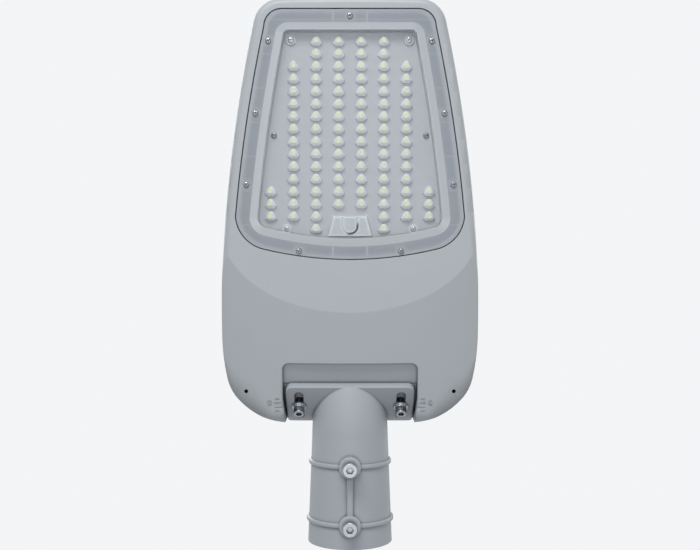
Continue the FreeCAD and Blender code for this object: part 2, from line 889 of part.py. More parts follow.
def tongue_groove(top):
    """U-shaped groove round the tongue on the lead's cover."""
    solids = []
    for reach in (tongue_half_width, tongue_half_width - tongue_groove_width):
        centre_y = cover_front_y - tongue_end + tongue_half_width
        front_y = cover_front_y - wire_cover_front[1] - 2 * wire_cover_round
        straight = box(-reach, reach, centre_y, front_y, top - 1, top + tongue_groove_depth)
        solids.append(straight.fuse(rod(reach, 0, centre_y, top - 1, top + tongue_groove_depth)))
    return solids[0].cut(solids[1])


def lens_plate_screws():
    screws = []
    for x, y in both_sides(behind_front(engine_corner_screws)):
        screws.append(pan_screw(x, y, lens_face_level - engine_boss_height, small_screw_radius,
                                small_screw_head_radius, small_screw_head_height,
                                engine_corner_screw_length))
    for x, y in both_sides(behind_front(engine_side_screws)):
        screws.append(pan_screw(x, y, lens_face_level, small_screw_radius,
                                small_screw_head_radius, small_screw_head_height,
                                engine_side_screw_length))
    return group(screws)


def device_screw_spots():
    """Screws that hold the driver, terminal block, surge unit and earth tag."""
    spots = []
    length = driver_size[0]
    middle = driver_rear_y + driver_size[1] / 2
    for side in (1, -1):
        spots.append((side * (length / 2 + driver_ear / 2), middle, floor_level))
    spots.append((terminal_spot[0] - terminal_size[0] / 2 - device_ear / 2, terminal_spot[1], floor_level))
    spots.append((surge_spot[0] + surge_size[0] / 2 + device_ear / 2, surge_spot[1], floor_level))
    for side in (1, -1):
        spots.append((side * clamp_screw_x, clamp_y, clamp_post_level))
    spots.append((earth_screw_spot[0], earth_screw_spot[1], floor_level))
    return spots


def device_screws():
    """Six equal screws: driver, terminal block, surge unit and cable clamp."""
    seats = [driver_ear_height, driver_ear_height, device_ear_height, device_ear_height,
             clamp_bar_height, clamp_bar_height]
    screws = []
    for (x, y, level), seat in zip(device_screw_spots(), seats):
        screws.append(pan_screw(x, y, level + seat, device_screw_radius, device_screw_head_radius,
                                device_screw_head_height, seat + device_screw_depth, 1))
    return group(screws)


def earth_screw():
    x, y = earth_screw_spot
    seat = floor_level + earth_washer_thickness
    washer = rod(earth_washer_radius, x, y, floor_level, seat)
    screw = pan_screw(x, y, seat, device_screw_radius, device_screw_head_radius,
                      device_screw_head_height, earth_washer_thickness + device_screw_depth, 1)
    return washer.fuse(screw)


def driver():
    """Sealed power supply with a fixing ear at each end."""
    length, depth, tall = driver_size
    body = box(-length / 2, length / 2, driver_rear_y, driver_rear_y + depth,
               floor_level, floor_level + tall)
    upright = [e for e in body.Edges if e.BoundBox.ZLength > tall - 0.1]
    body = body.makeFillet(driver_corner, upright)
    reach = length / 2 + driver_ear
    middle = driver_rear_y + depth / 2
    ears = box(-reach, reach, middle - driver_ear_half_width, middle + driver_ear_half_width,
               floor_level, floor_level + driver_ear_height)
    body = body.fuse(ears)
    holes = [rod(device_screw_radius + hole_clearance, side * (length / 2 + driver_ear / 2), middle,
                 0, 2 * floor_level) for side in (1, -1)]
    return body.cut(group(holes))


def terminal_block():
    """Three-way block with wire entries and clamp wells."""
    width, depth, tall = terminal_size
    x, y = terminal_spot
    body = box(x - width / 2, x + width / 2, y - depth / 2, y + depth / 2,
               floor_level, floor_level + tall)
    ear = box(x - width / 2 - device_ear, x - width / 2 + 1, y - device_ear_half_width,
              y + device_ear_half_width, floor_level, floor_level + device_ear_height)
    body = body.fuse(ear)
    cuts = [rod(device_screw_radius + hole_clearance, x - width / 2 - device_ear / 2, y,
                0, 2 * floor_level)]
    for number in (-1, 0, 1):
        way = x + number * width / terminal_way_share
        cuts.append(rod(terminal_well_radius, way, y, floor_level + tall / 2, floor_level + tall + 1))
        low = floor_level + tall / 4
        cuts.append(box(way - terminal_mouth_half_width, way + terminal_mouth_half_width,
                        y - depth / 2 - 1, y - depth / 4, low, low + terminal_mouth_height))
    return body.cut(group(cuts))


def surge_protector():
    width, depth, tall = surge_size
    x, y = surge_spot
    body = rounded_box(x - width / 2, x + width / 2, y - depth / 2, y + depth / 2,
                       floor_level, floor_level + tall, surge_corner)
    ear = box(x + width / 2 - 1, x + width / 2 + device_ear, y - device_ear_half_width,
              y + device_ear_half_width, floor_level, floor_level + device_ear_height)
    hole = rod(device_screw_radius + hole_clearance, x + width / 2 + device_ear / 2, y,
               0, 2 * floor_level)
    return body.fuse(ear).cut(hole)


def led_lead():
    """Lead from the driver's front through the floor to the board."""
    level = floor_level + lead_rise
    points = [
        spot(lead_exit_x, driver_rear_y + driver_size[1], level),
        spot(lead_exit_x, wire_hole_y, level),
        spot(0.0, wire_hole_y, level),
        spot(0.0, wire_hole_y, board_level - lead_end_gap),
    ]
    return swept_lead(points, lead_radius, lead_bend)


def supply_lead():
    """Lead from the terminal block to the driver's rear."""
    x, y = terminal_spot
    level = floor_level + supply_lead_rise
    start = spot(x, y + terminal_size[1] / 2, level)
    end = spot(x - supply_lead_shift, driver_rear_y, level)
    middle = (start.y + end.y) / 2
    return swept_lead([start, FreeCAD.Vector(start.x, middle, start.z),
                       FreeCAD.Vector(end.x, middle, end.z), end], lead_radius, supply_lead_bend)


def wire_grommet():
    """Rubber sleeve that lines the lead's hole through the floor."""
    reach = wire_hole_radius + grommet_wall
    sleeve = rod(reach, 0, wire_hole_y, engine_level, floor_level)
    collar = rod(reach + grommet_collar, 0, wire_hole_y, floor_level, floor_level + grommet_collar)
    hole = rod(lead_radius + lead_clearance, 0, wire_hole_y, 0, 2 * floor_level)
    return sleeve.fuse(collar).cut(hole)


def cable_clamp():
    """Saddle bar that holds the supply cable's sheath on its pedestal."""
    bar = box(-clamp_half_width, clamp_half_width, clamp_y - clamp_depth / 2,
              clamp_y + clamp_depth / 2, clamp_post_level, clamp_post_level + clamp_bar_height)
    arch = Part.makeCylinder(cable_radius, 2 * clamp_depth,
                             FreeCAD.Vector(0, clamp_y - clamp_depth, 0), y_axis)
    arch = arch.fuse(box(-cable_radius, cable_radius, clamp_y - clamp_depth, clamp_y + clamp_depth,
                         clamp_post_level - 1, axis_height))
    holes = [rod(device_screw_radius + hole_clearance, side * clamp_screw_x, clamp_y, 0, far / 2)
             for side in (1, -1)]
    return bar.cut(group([arch] + holes))


def cable_gland():
    """Gland body and dome nut in the wall between the seat hollow and the room."""
    wall_rear = room_rear_y - bulkhead_thickness
    start = FreeCAD.Vector(0, wall_rear, 0)
    back = y_axis * -1
    body = hex_prism(gland_body_across, start, back, gland_body_length)
    nut = Part.makeCone(gland_nut_radius, gland_nut_end_radius, gland_nut_length,
                        start + back * gland_body_length, back)
    thread = Part.makeCylinder(gland_thread_radius - thread_clearance, gland_thread_length,
                               start, y_axis)
    rear = start + back * (gland_body_length + gland_nut_length + 1)
    hole = Part.makeCylinder(cable_radius, far, rear, y_axis)
    return body.fuse([nut, thread]).cut(hole)


def gland_locknut():
    start = FreeCAD.Vector(0, room_rear_y, 0)
    nut = hex_prism(locknut_across, start, y_axis, locknut_thickness)
    return nut.cut(Part.makeCylinder(gland_thread_radius, 3 * locknut_thickness,
                                     start - y_axis * locknut_thickness, y_axis))


def breather():
    """Pressure vent in the wall between the driver room and the seat hollow."""
    start = spot(breather_x, room_rear_y - bulkhead_thickness, breather_level)
    cap = Part.makeCylinder(breather_radius, breather_cap_height, start, y_axis * -1)
    stem = Part.makeCylinder(breather_stem_radius - thread_clearance,
                             bulkhead_thickness + breather_stem_end, start, y_axis)
    return cap.fuse(stem)


def spigot():
    """Cast elbow: pole tube, dome and the curved slotted flange that grips the seat."""
    flange = sector(-flange_half_width, flange_half_width, flange_radius, flange_outer_radius,
                    flange_first_angle, flange_last_angle)
    flange = flange.makeFillet(flange_corner, radial_edges(flange, flange_radius, flange_outer_radius))
    flange = flange.makeFillet(flange_edge_round, flange_outer_edges(flange))
    tube = Part.makeCone(mouth_radius, root_radius, root_y, FreeCAD.Vector(0, 0, 0), y_axis)
    ball = Part.makeSphere(root_radius)
    stretch = FreeCAD.Matrix()
    stretch.scale(1.0, dome_length / root_radius, 1.0)
    dome = ball.transformGeometry(stretch)
    dome.translate(y_axis * root_y)
    dome = dome.common(box(-far, far, root_y - 1, far, -far, far))
    adds = [tube, dome]
    for y in ring_spots:
        radius = mouth_radius + (root_radius - mouth_radius) * y / root_y + ring_height
        ring = Part.makeCylinder(radius, ring_width, FreeCAD.Vector(0, y - ring_width / 2, 0), y_axis)
        adds.append(ring.makeFillet(ring_edge_round, [e for e in ring.Edges if e.Closed]))
        centre = FreeCAD.Vector(0, y, 0)
        boss = Part.makeCylinder(screw_boss_radius, screw_boss_reach, centre, z_axis * -1)
        adds.append(boss.makeFillet(screw_boss_round, outer_rim(boss, centre, screw_boss_reach)))
    spine = Part.makeBox(spine_width, ring_spots[1] - ring_spots[0], spine_reach,
                         FreeCAD.Vector(-spine_width / 2, ring_spots[0], -spine_reach))
    lower = [e for e in spine.Edges if e.BoundBox.ZMax < -spine_reach + 0.1 and e.BoundBox.YLength > 1]
    adds.append(spine.makeFillet(spine_round, lower))
    body = flange.fuse(adds)
    cuts = [tilt_cylinder(flange_radius, far)]
    cuts.append(sector(-far, far, seat_radius / 2, 2 * seat_radius, flange_last_angle, flange_trim_angle))
    cuts.append(Part.makeCylinder(bore_radius, bore_depth + cut_margin,
                                  FreeCAD.Vector(0, -cut_margin, 0), y_axis))
    cuts.append(Part.makeCylinder(chamber_radius, far, FreeCAD.Vector(0, 0, 0), y_axis))
    for side in (1, -1):
        cuts += slot_cutters(side * bolt_x)
    for y in ring_spots:
        cuts.append(Part.makeCylinder(pole_screw_radius + thread_clearance, 2 * bore_radius,
                                      FreeCAD.Vector(0, y, -2 * bore_radius), z_axis))
    return body.cut(group(cuts))


def flange_outer_edges(flange):
    """Edges round the outer curved face of the flange."""
    found = []
    for edge in flange.Edges:
        middle = edge.valueAt((edge.FirstParameter + edge.LastParameter) / 2) - tilt_centre
        if abs(math.hypot(middle.y, middle.z) - flange_outer_radius) < 0.01:
            found.append(edge)
    return found


def slot_cutters(x):
    """Slot that lets a tilt bolt travel along the flange."""
    half = bolt_radius + slot_clearance
    first, last = bolt_angle - nose_down_travel, bolt_angle + nose_up_travel
    r1, r2 = seat_radius - cut_margin, flange_outer_radius + cut_margin
    return [
        sector(x - half, x + half, r1, r2, first, last),
        tilt_rod(half, x, first, r1, r2),
        tilt_rod(half, x, last, r1, r2),
    ]


def saddle_top():
    return flange_outer_radius + saddle_thickness


def tilt_saddles():
    """Thick washers hollowed to follow the flange's curve."""
    saddles = []
    for side in (1, -1):
        ring = tilt_rod(saddle_radius, side * bolt_x, bolt_angle, flange_outer_radius - saddle_start,
                        saddle_top())
        ring = ring.cut(tilt_cylinder(flange_outer_radius + running_gap, far))
        hole = tilt_rod(bolt_radius + hole_clearance, side * bolt_x, bolt_angle,
                        seat_radius, saddle_top() + 1)
        saddles.append(ring.cut(hole))
    return group(saddles)


def tilt_spring_washers():
    rings = []
    for side in (1, -1):
        x = side * bolt_x
        ring = tilt_rod(spring_radius, x, bolt_angle, saddle_top(), saddle_top() + spring_thickness)
        hole = tilt_rod(bolt_radius + hole_clearance, x, bolt_angle, saddle_top() - 1,
                        saddle_top() + spring_thickness + 1)
        split = Part.makeBox(spring_radius + 1, spring_split, spring_thickness + 2,
                             FreeCAD.Vector(0, -spring_split / 2, -1))
        place = FreeCAD.Rotation(z_axis, tilt_direction(bolt_angle))
        start = tilt_centre + tilt_direction(bolt_angle) * saddle_top() + x_axis * x
        split.Placement = FreeCAD.Placement(start, place)
        rings.append(ring.cut(hole).cut(split))
    return group(rings)


def tilt_bolts():
    way = tilt_direction(bolt_angle)
    seat = saddle_top() + spring_thickness
    bolts = []
    for side in (1, -1):
        start = tilt_centre + way * seat + x_axis * (side * bolt_x)
        bolts.append(socket_screw(start, way, bolt_radius, seat - seat_radius + bolt_reach - 2,
                                  bolt_head_radius, bolt_head_height, bolt_socket_across,
                                  bolt_socket_depth))
    return group(bolts)


def pole_screws():
    """Two socket screws that clamp the pole tube in the spigot."""
    start_z = -screw_boss_reach - pole_screw_gap
    reach = -start_z - bore_radius - pole_screw_tip
    screws = []
    for y in ring_spots:
        start = FreeCAD.Vector(0, y, start_z)
        screws.append(socket_screw(start, z_axis * -1, pole_screw_radius, reach,
                                   pole_screw_head_radius, pole_screw_head_height,
                                   pole_screw_socket_across, pole_screw_socket_depth))
    return group(screws)


os.makedirs("parts", exist_ok=True)

pieces = {
    "housing": housing,
    "driver_cover": driver_cover,
    "driver_cover_seal": driver_cover_seal,
    "driver_cover_screws": driver_cover_screws,
    "window_cover": window_cover,
    "window_seal": window_seal,
    "cover_screws": cover_screws,
    "lens_plate": lens_plate,
    "lens_plate_screws": lens_plate_screws,
    "led_board": led_board,
    "led_chips": led_chips,
    "heat_pad": heat_pad,
    "driver": driver,
    "terminal_block": terminal_block,
    "surge_protector": surge_protector,
    "device_screws": device_screws,
    "earth_screw": earth_screw,
    "led_lead": led_lead,
    "supply_lead": supply_lead,
    "wire_grommet": wire_grommet,
    "cable_clamp": cable_clamp,
    "cable_gland": cable_gland,
    "gland_locknut": gland_locknut,
    "breather": breather,
    "spigot": spigot,
    "pole_screws": pole_screws,
    "tilt_saddles": tilt_saddles,
    "tilt_spring_washers": tilt_spring_washers,
    "tilt_bolts": tilt_bolts,
}

for name, make in pieces.items():
    make().exportStep("parts/" + name + ".step")
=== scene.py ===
import math

import bmesh
import bpy
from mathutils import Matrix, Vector
from mathutils.bvhtree import BVHTree


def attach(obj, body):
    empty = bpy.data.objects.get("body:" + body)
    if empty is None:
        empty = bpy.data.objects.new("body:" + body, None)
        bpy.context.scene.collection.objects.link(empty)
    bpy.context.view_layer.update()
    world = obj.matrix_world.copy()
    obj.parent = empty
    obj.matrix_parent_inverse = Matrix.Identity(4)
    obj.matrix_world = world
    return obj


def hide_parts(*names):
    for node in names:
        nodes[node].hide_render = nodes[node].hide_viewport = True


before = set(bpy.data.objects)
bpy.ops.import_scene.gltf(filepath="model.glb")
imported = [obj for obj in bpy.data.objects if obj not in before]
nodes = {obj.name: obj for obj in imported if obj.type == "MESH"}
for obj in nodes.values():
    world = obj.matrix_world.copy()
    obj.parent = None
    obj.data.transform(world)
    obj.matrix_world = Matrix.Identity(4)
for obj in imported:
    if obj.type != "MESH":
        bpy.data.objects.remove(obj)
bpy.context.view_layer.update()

MM = 0.001

# Camera below the head, looking straight up, as the photo was taken
CAMERA_DISTANCE = 0.890
CAMERA_Y = 0.2453
FOCAL_PX = 1000.0
IMAGE_WIDTH = 700.0
SENSOR_WIDTH = 36.0
UNDERSIDE_Z = -0.040

# Studio: floor sheet and even light close above it
FLOOR_Z = -1.45
FLOOR_MIDDLE_Y = 0.25
FLOOR_RADIUS = 10.0
FLOOR_SIDES = 128
FLOOR_COLOR = (0.78, 0.79, 0.80, 1.0)
FLOOR_LIGHT_RISE = 0.55
SOFT_COLOR = (0.93, 0.96, 1.0, 1.0)
SOFT_LIGHT = 0.37
BACKDROP_COLOR = (0.90, 0.91, 0.92, 1.0)

# Castings: painted shade in the creases, faint dust patches, edges look slightly rounded
CREASE_DISTANCE = 3.5 * MM
CREASE_CLOSED = 0.35
CREASE_SHADE = 0.38
DUST_SHARE = 0.16
DUST_SHADE = 0.86
CAST_EDGE = 0.9 * MM

# Where the underside rolls up at the rear corners, and how far in from the edge
CORNER_FRONT_Y = 178.0 * MM
CORNER_REAR_Y = 140.0 * MM
CORNER_INNER_X = 55.0 * MM
CORNER_OUTER_X = 88.0 * MM
CORNER_ROUND = 30.0 * MM

# Hollow behind the clear cover, where the paint is made paler as painted light
HOLLOW_LOW_Z = -34.0 * MM
HOLLOW_HIGH_Z = -29.0 * MM
HOLLOW_FADE = 1.0 * MM
HOLLOW_REAR_Y = 255.0 * MM

# Screws: painted shade in the sockets and cross recesses, and the duller pair at the lens plate's sides
SOCKET_DISTANCE = 3.0 * MM
WASHER_SOCKET_DISTANCE = 0.4 * MM
SMALL_SOCKET_DISTANCE = 1.5 * MM
SOCKET_CLOSED = 0.10
SOCKET_SHADE = 0.12
SIDE_SCREW_Y = 370.0 * MM
SIDE_SCREW_REACH = 20.0 * MM

# Pan heads: profile as shares of radius and height, then the cross recess
SCREW_SHANK_RADIUS = 1.5 * MM
SCREW_HEAD_HEIGHT = 2.0 * MM
SCREW_SIDES = 28
PAN_PROFILE = [(0.0, 1.0), (0.45, 0.96), (0.78, 0.80), (0.95, 0.52), (1.0, 0.18), (1.0, 0.0)]
CROSS_LONG = 0.62
CROSS_SHORT = 0.15
CROSS_DEEP = 0.75

# Lens plate: grid of the lenses and of the painted streaks of light, which stand for the yellow chips seen
# through the lenses
LENS_COLUMN_PITCH = 20.2 * MM
LENS_ROW_PITCH = 11.2 * MM
LENS_FIRST_ROW_Y = 454.6 * MM
LENS_FACE_Z = -34.8 * MM
LENS_FOOT = 0.1 * MM
LENS_SHOULDER = 2.2 * MM
STREAK_HALF_WIDTH = 0.15 * MM
STREAK_HALF_LENGTH = 1.3 * MM
STREAK_FADE_X = 1.5 * MM
STREAK_FADE_Y = 2.4 * MM
BOSS_BESIDE_X = 40.0 * MM
FRONT_BOSS_Y = 438.0 * MM
REAR_BOSS_Y = 292.6 * MM

# Wire cover on the lens plate, the painted highlight on its edges, and the painted shadow in the groove
# round its tongue
WIRE_COVER_HALF_WIDTH = 22.0 * MM
WIRE_COVER_FRONT_Y = 301.0 * MM
WIRE_COVER_HIGHLIGHT_REACH = 3.5 * MM
TONGUE_MIDDLE_Y = 288.7 * MM
TONGUE_RADIUS = 6.65 * MM
TONGUE_SLIT = 0.6 * MM
TONGUE_SLIT_FADE = 0.8 * MM
TONGUE_SHADE_FULL = -6.5 * MM
TONGUE_SHADE_END = -1.5 * MM

# Clear cover: heights of its outer faces, haze on each, the painted highlight along its edges, and the ribs
# behind its rim
COVER_PANEL_Z = -43.5 * MM
COVER_RIM_Z = -40.0 * MM
COVER_FACE_REACH = 0.2 * MM
COVER_FACE_FADE = 0.1 * MM
COVER_LIP = 4.6 * MM
COVER_EDGE_HIGHLIGHT = 8.0 * MM
LONG_RIB_X = 15.2 * MM
LONG_RIB_HALF_WIDTH = 0.6 * MM
LONG_RIB_FADE = 0.8 * MM
SHORT_RIB_PITCH = 30.5 * MM
SHORT_RIB_HALF_WIDTH = 0.4 * MM
SHORT_RIB_FADE = 0.9 * MM
SHORT_RIB_SHARE = 0.4
RIB_SHARE = 0.75
BEVEL_HAZE = 0.86
RIM_HAZE = 0.80
PANEL_HAZE = 0.17

# Tilt scale beside the recess, in millimetres: bars as x, y, width and length
SCALE_BARS = [
    (65.6, 133.2, 4.2, 0.7),
    (65.2, 129.6, 6.4, 0.8),
    (65.6, 125.6, 4.2, 0.7),
    (65.6, 122.2, 4.2, 0.7),
]
SCALE_ZERO = (72.8, 129.6)
SCALE_ZERO_SIZE = (1.3, 1.9)
SCALE_LINE = 0.35
SCALE_PROUD = 0.3


def srgb(red, green, blue):
    """Linear colour from 0-255 screen values."""
    out = []
    for value in (red, green, blue):
        share = value / 255
        out.append(share / 12.92 if share <= 0.04045 else ((share + 0.055) / 1.055) ** 2.4)
    return (*out, 1.0)


def scaled(color, share):
    """A colour made darker or lighter, up to white."""
    return (*(min(1.0, channel * share) for channel in color[:3]), 1.0)


HOLLOW_PAINTED_LIGHT = srgb(236, 238, 240)


class Shader:
    """Builds one node material around its principled shader."""

    def __init__(self, name):
        self.material = bpy.data.materials.new(name)
        self.material.use_nodes = True
        self.tree = self.material.node_tree
        self.body = self.tree.nodes["Principled BSDF"]
        self.output = self.tree.nodes["Material Output"]
        self.coords = self.node("TexCoord").outputs["Object"]
        self.place = None

    def node(self, kind, **values):
        made = self.tree.nodes.new("ShaderNode" + kind)
        for name, value in values.items():
            setattr(made, name, value)
        return made

    def link(self, source, target):
        self.tree.links.new(source, target)

    def feed(self, socket, value):
        """Sets a socket to a constant, or links another node's result to it."""
        if isinstance(value, (int, float, tuple)):
            socket.default_value = value
        else:
            self.link(value, socket)

    def put(self, name, value):
        self.feed(self.body.inputs[name], value)

    def noise(self, scale, detail=3.0, roughness=0.5, stretch=None):
        made = self.node("TexNoise")
        made.inputs["Scale"].default_value = scale
        made.inputs["Detail"].default_value = detail
        made.inputs["Roughness"].default_value = roughness
        source = self.coords
        if stretch:
            mapping = self.node("Mapping")
            mapping.inputs["Scale"].default_value = stretch
            self.link(source, mapping.inputs["Vector"])
            source = mapping.outputs["Vector"]
        self.link(source, made.inputs["Vector"])
        return made.outputs["Fac"]

    def spread(self, value, low, high):
        """Maps a 0-1 value to low-high."""
        made = self.node("MapRange")
        made.inputs["To Min"].default_value = low
        made.inputs["To Max"].default_value = high
        self.link(value, made.inputs["Value"])
        return made.outputs["Result"]

    def step(self, value, start, end):
        """Smooth 0-1 step of a value between start and end."""
        made = self.node("MapRange", interpolation_type="SMOOTHSTEP")
        made.inputs["From Min"].default_value = start
        made.inputs["From Max"].default_value = end
        self.link(value, made.inputs["Value"])
        return made.outputs["Result"]

    def math(self, operation, *values):
        made = self.node("Math", operation=operation)
        for socket, value in zip(made.inputs, values):
            self.feed(socket, value)
        return made.outputs["Value"]

    def product(self, first, *others):
        for other in others:
            first = self.math("MULTIPLY", first, other)
        return first

    def most(self, first, second):
        return self.math("MAXIMUM", first, second)

    def rest(self, share):
        """What a share leaves of 1."""
        return self.math("SUBTRACT", 1.0, share)

    def near(self, value, half_width, softness):
        """1 where a value is within a half width of zero, fading to 0 outside."""
        size = self.math("ABSOLUTE", value)
        return self.rest(self.step(size, half_width, half_width + softness))

    def cell(self, value, pitch):
        """Signed distance from the middle of the repeating cell that a value falls in."""
        share = self.math("FRACT", self.math("DIVIDE", value, pitch))
        return self.math("MULTIPLY", self.math("SUBTRACT", share, 0.5), pitch)

    def blend(self, factor, first, second):
        made = self.node("Mix", data_type="RGBA")
        for name, value in (("Factor", factor), ("A", first), ("B", second)):
            self.feed([s for s in made.inputs if s.name == name and s.enabled][0], value)
        return [s for s in made.outputs if s.enabled][0]

    def tint(self, color, amount, scale):
        """Colour that varies gently around the given one."""
        return self.blend(self.noise(scale, 4.0), scaled(color, 1 - amount), scaled(color, 1 + amount))

    def gloss(self, middle, fall, rise, scale, detail=3.0):
        """Roughness that wanders from a little under to a little over the given one."""
        self.put("Roughness", self.spread(self.noise(scale, detail), middle - fall, middle + rise))

    def bump(self, height, strength, distance, edge=0.0):
        """Surface relief, over edges that look rounded by the given radius."""
        made = self.node("Bump")
        made.inputs["Strength"].default_value = strength
        made.inputs["Distance"].default_value = distance
        self.link(height, made.inputs["Height"])
        if edge:
            rounding = self.node("Bevel", samples=8)
            self.feed(rounding.inputs["Radius"], edge)
            self.link(rounding.outputs["Normal"], made.inputs["Normal"])
        self.link(made.outputs["Normal"], self.body.inputs["Normal"])

    def axis(self, name):
        """One coordinate of the point, in metres in the part's frame."""
        if self.place is None:
            self.place = self.node("SeparateXYZ")
            self.link(self.coords, self.place.inputs["Vector"])
        return self.place.outputs[name]

    def facing(self, name):
        """One part of the direction that the flat face itself looks in."""
        shape = self.node("NewGeometry")
        parts = self.node("SeparateXYZ")
        self.link(shape.outputs["True Normal"], parts.inputs["Vector"])
        return parts.outputs[name]

    def edges(self, radius, flat, round_over):
        """1 on edges and 0 on flat faces, from how far the rounded normal leans from the face's own."""
        rounding = self.node("Bevel", samples=8)
        rounding.inputs["Radius"].default_value = radius
        shape = self.node("NewGeometry")
        lean = self.node("VectorMath", operation="DOT_PRODUCT")
        self.link(rounding.outputs["Normal"], lean.inputs[0])
        self.link(shape.outputs["Normal"], lean.inputs[1])
        return self.rest(self.step(lean.outputs["Value"], round_over, flat))

    def openness(self, distance, closed):
        """1 on open faces, falling to 0 in creases and sockets."""
        around = self.node("AmbientOcclusion", samples=8)
        around.inputs["Distance"].default_value = distance
        return self.step(around.outputs["AO"], closed, 1.0)


def corner_round(shader, edge):
    """Edge rounding that grows at the head's rear corners, where the underside rolls up."""
    back = shader.rest(shader.step(shader.axis("Y"), CORNER_REAR_Y, CORNER_FRONT_Y))
    out = shader.step(shader.math("ABSOLUTE", shader.axis("X")), CORNER_INNER_X, CORNER_OUTER_X)
    return shader.spread(shader.product(back, out), edge, CORNER_ROUND)


def hollow_painted_light(shader):
    """1 at the heights of the hollow behind the clear cover and forward of its rear end; there the paint is
    made paler as painted light, and the painted crease shade is left out.
    """
    level = shader.axis("Z")
    above = shader.step(level, HOLLOW_LOW_Z, HOLLOW_LOW_Z + HOLLOW_FADE)
    below = shader.math("LESS_THAN", level, HOLLOW_HIGH_Z)
    return shader.product(above, below, shader.math("GREATER_THAN", shader.axis("Y"), HOLLOW_REAR_Y))


def paint_material(name, color, roughness, is_housing=False):
    """Satin powder coat: fine orange peel, faint dust, painted shade in the creases and slightly uneven
    gloss; on the housing, painted light in the hollow behind the clear cover.
    """
    shader = Shader(name)
    base = shader.tint(color, amount=0.035, scale=14.0)
    patches = shader.step(shader.noise(scale=38.0, detail=6.0, roughness=0.65), start=0.52, end=0.80)
    paint = shader.blend(shader.product(patches, DUST_SHARE), base, scaled(color, DUST_SHADE))
    crease_unshaded = shader.openness(CREASE_DISTANCE, CREASE_CLOSED)
    edge = CAST_EDGE
    if is_housing:
        # Painted light: the paint turns paler in the hollow behind the clear cover, and the painted crease
        # shade is left out there.
        hollow = hollow_painted_light(shader)
        crease_unshaded = shader.most(crease_unshaded, hollow)
        paint = shader.blend(hollow, paint, HOLLOW_PAINTED_LIGHT)
        edge = corner_round(shader, CAST_EDGE)
    # Painted shade: darker paint in the creases, where ambient occlusion finds them closed in.
    shader.put("Base Color", shader.blend(crease_unshaded, scaled(color, CREASE_SHADE), paint))
    shader.gloss(roughness, fall=0.06, rise=0.08, scale=60.0, detail=4.0)
    shader.put("Specular IOR Level", 0.42)
    shader.bump(shader.noise(scale=1300.0, detail=2.0), strength=0.12, distance=0.0003, edge=edge)
    return shader.material


def steel_material(name, color, roughness, socket_reach=SOCKET_DISTANCE, side_color=None):
    """Stainless steel with fine turning marks and painted shade in the sockets; the side screws may be
    duller.
    """
    shader = Shader(name)
    face = shader.tint(color, amount=0.10, scale=300.0)
    if side_color:
        distance = shader.math("SUBTRACT", shader.axis("Y"), SIDE_SCREW_Y)
        face = shader.blend(shader.near(distance, SIDE_SCREW_REACH, MM), face, side_color)
    # Painted shade: the steel turns darker in sockets and recesses, where ambient occlusion finds them
    # closed in.
    unshaded_share = shader.openness(socket_reach, SOCKET_CLOSED)
    shader.put("Base Color", shader.blend(unshaded_share, scaled(color, SOCKET_SHADE), face))
    shader.put("Metallic", 1.0)
    shader.gloss(roughness, fall=0.06, rise=0.12, scale=900.0)
    marks = shader.noise(scale=900.0, stretch=(1.0, 1.0, 4.0))
    shader.bump(marks, strength=0.16, distance=0.0002, edge=0.0003)
    return shader.material


def plastic_material(name, color, roughness, metallic=0.0):
    """Fine-grained plastic, rubber or foil with a slightly uneven tint."""
    shader = Shader(name)
    shader.put("Base Color", shader.tint(color, amount=0.05, scale=60.0))
    shader.put("Metallic", metallic)
    shader.gloss(roughness, fall=0.05, rise=0.08, scale=120.0)
    shader.bump(shader.noise(scale=1500.0, detail=2.0), strength=0.12, distance=0.0002)
    return shader.material


def raised_forms(shader):
    """Shares of a point that belong to a lens, a screw boss and the wire cover."""
    side = shader.math("ABSOLUTE", shader.axis("X"))
    beside = shader.step(side, WIRE_COVER_HALF_WIDTH, WIRE_COVER_HALF_WIDTH + MM)
    before = shader.step(shader.axis("Y"), WIRE_COVER_FRONT_Y, WIRE_COVER_FRONT_Y + MM)
    off_cover = shader.most(beside, before)
    raised = shader.rest(shader.step(shader.axis("Z"), LENS_FACE_Z - LENS_SHOULDER, LENS_FACE_Z - LENS_FOOT))
    ends = shader.most(shader.math("GREATER_THAN", shader.axis("Y"), FRONT_BOSS_Y),
                       shader.math("LESS_THAN", shader.axis("Y"), REAR_BOSS_Y))
    corner = shader.product(shader.math("GREATER_THAN", side, BOSS_BESIDE_X), ends)
    lens = shader.product(raised, off_cover, shader.rest(corner))
    return lens, shader.product(corner, raised), shader.product(shader.rest(off_cover), raised)


def painted_chip_streak(shader):
    """1 on the painted streak of light along the middle of each cell of the lens grid, which stands for the
    yellow chip seen through the lens.
    """
    across = shader.cell(shader.axis("X"), LENS_COLUMN_PITCH)
    rows = shader.math("SUBTRACT", LENS_FIRST_ROW_Y + LENS_ROW_PITCH / 2, shader.axis("Y"))
    along = shader.cell(rows, LENS_ROW_PITCH)
    return shader.product(shader.near(across, STREAK_HALF_WIDTH, STREAK_FADE_X),
                          shader.near(along, STREAK_HALF_LENGTH, STREAK_FADE_Y))


def tongue_groove_painted_shadow(shader):
    """1 in the part of the U-shaped groove round the wire cover's tongue that gets a painted shadow: its -X
    side and round its rear end.
    """
    side = shader.math("ABSOLUTE", shader.axis("X"))
    forward = shader.math("SUBTRACT", shader.axis("Y"), TONGUE_MIDDLE_Y)
    behind = shader.math("MINIMUM", forward, 0.0)
    squares = shader.math("ADD", shader.product(side, side), shader.product(behind, behind))
    reach = shader.math("SUBTRACT", shader.math("SQRT", squares), TONGUE_RADIUS)
    lean = shader.math("ADD", shader.axis("X"), forward)
    return shader.product(shader.near(reach, TONGUE_SLIT, TONGUE_SLIT_FADE),
                          shader.rest(shader.step(lean, TONGUE_SHADE_FULL, TONGUE_SHADE_END)))


